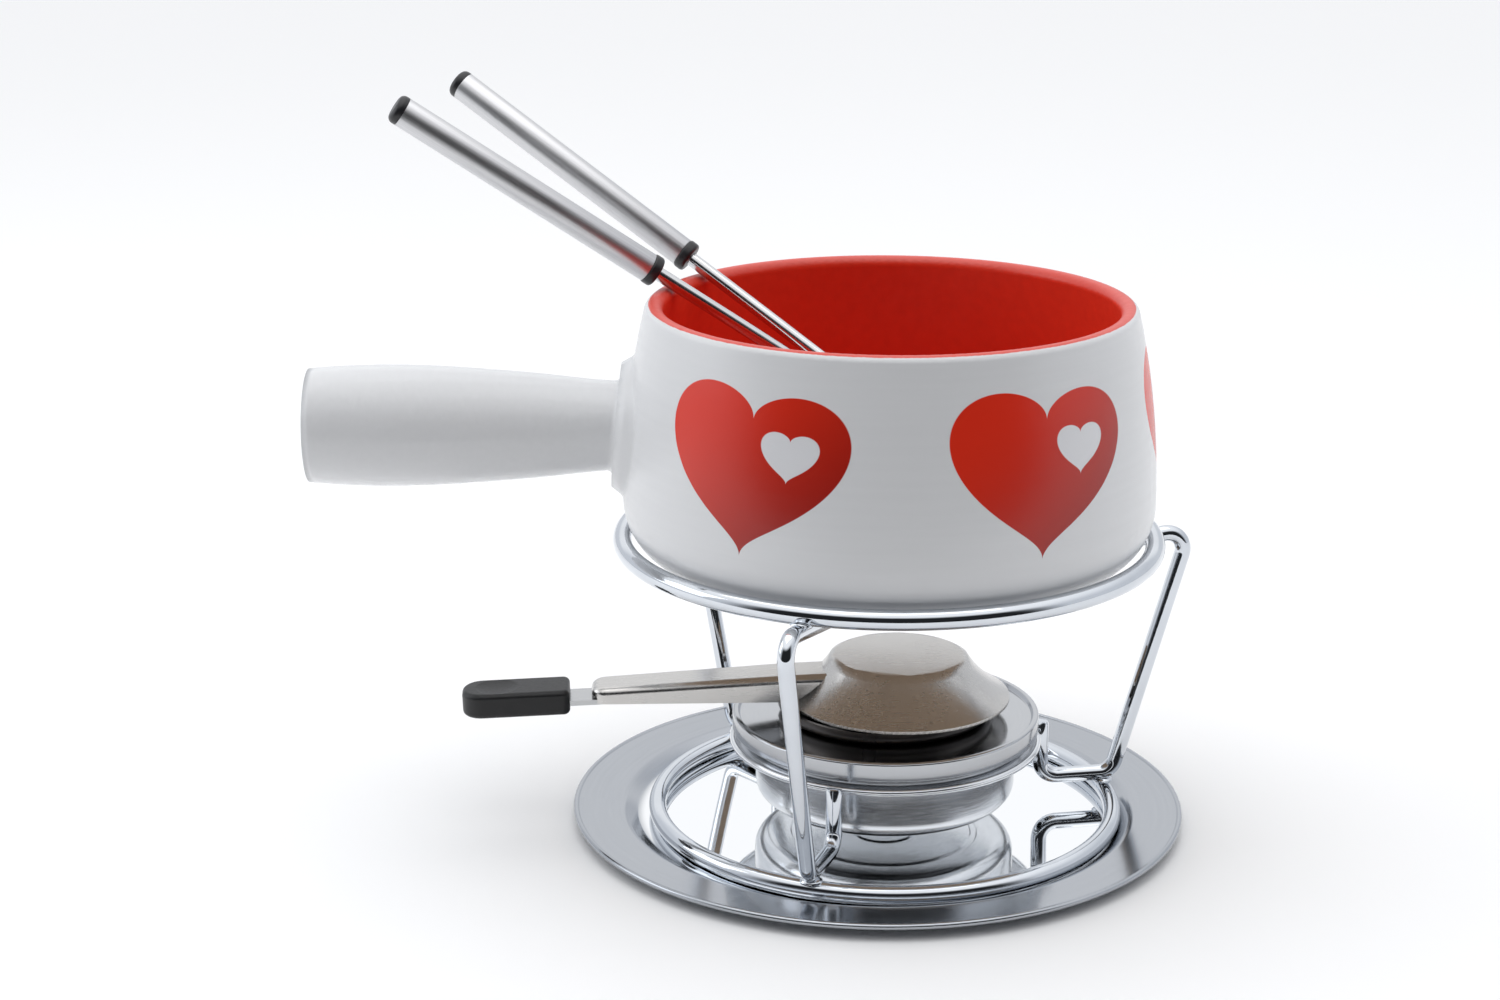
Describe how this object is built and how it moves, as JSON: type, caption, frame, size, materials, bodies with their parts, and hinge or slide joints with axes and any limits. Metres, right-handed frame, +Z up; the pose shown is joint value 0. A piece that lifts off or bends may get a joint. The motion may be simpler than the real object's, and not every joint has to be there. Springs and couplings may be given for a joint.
{
  "type": "fondue pot set",
  "caption": "Ceramic fondue pot with a hollow side handle on a wire stand and round tray, with a paste burner, turning regulator, snuffer lid and long forks.",
  "frame": {"origin": "on the tray's flat underside, at the foot of the axis that stand, burner and pot share", "axes": "+Z up, -X along the pot's handle"},
  "size_m": [0.2987, 0.21, 0.2477],
  "materials": {
    "tray_mirror": "mirror polished stainless sheet",
    "stand_chrome": "bright plated wire",
    "burner_steel": "satin drawn sheet",
    "collar_mirror": "mirror polished stainless sheet",
    "cup_aluminium": "plain rolled sheet",
    "screen_steel": "punched sheet",
    "dark_steel": "black enamel",
    "lever_steel": "satin strip",
    "grip_plastic": "fine moulded matt",
    "lid_steel": "polished pressing",
    "pot_glaze": "satin white glaze outside, red glaze inside",
    "rod_steel": "polished rod",
    "tube_steel": "lengthwise brushed tube",
    "fork_trim": "smooth black"
  },
  "bodies": {
    "tray": {"tray": "tray_mirror"},
    "stand": {"base_ring": "stand_chrome", "pot_ring": "stand_chrome", "leg_front": "stand_chrome", "leg_right": "stand_chrome", "leg_back": "stand_chrome"},
    "burner": {"burner_bowl": "burner_steel", "burner_collar": "collar_mirror", "paste_cup": "cup_aluminium", "flame_screen": "screen_steel"},
    "regulator": {"regulator_dish": "dark_steel", "regulator_arm": "lever_steel", "arm_rivets": "lever_steel", "lever_grip": "grip_plastic"},
    "lid": {"snuffer_lid": "lid_steel"},
    "pot": {"pot": "pot_glaze"},
    "fork_1": {"fork_1_rod": "rod_steel", "fork_1_ferrule": "fork_trim", "fork_1_tube": "tube_steel", "fork_1_cap": "fork_trim"},
    "fork_2": {"fork_2_rod": "rod_steel", "fork_2_ferrule": "fork_trim", "fork_2_tube": "tube_steel", "fork_2_cap": "fork_trim"}
  },
  "joints": [
    {"name": "stand_lift", "type": "slide", "parent": "tray", "child": "stand", "axis": [0, 0, 1], "range_m": [0, 0.06]},
    {"name": "pot_lift", "type": "slide", "parent": "stand", "child": "pot", "axis": [0, 0, 1], "range_m": [0, 0.09]},
    {"name": "burner_lift", "type": "slide", "parent": "stand", "child": "burner", "axis": [0, 0, 1], "range_m": [0, 0.015]},
    {"name": "regulator_turn", "type": "hinge", "parent": "burner", "child": "regulator", "pos_m": [0, 0, 0.039], "axis": [0, 0, 1], "range_deg": [-30, 30]},
    {"name": "lid_lift", "type": "slide", "parent": "regulator", "child": "lid", "axis": [0, 0, 1], "range_m": [0, 0.018]},
    {"name": "fork_1_draw", "type": "slide", "parent": "pot", "child": "fork_1", "axis": [-0.8188, -0.1297, 0.5592], "range_m": [0, 0.1]},
    {"name": "fork_2_draw", "type": "slide", "parent": "pot", "child": "fork_2", "axis": [-0.7911, 0.2479, 0.5592], "range_m": [0, 0.1]}
  ]
}
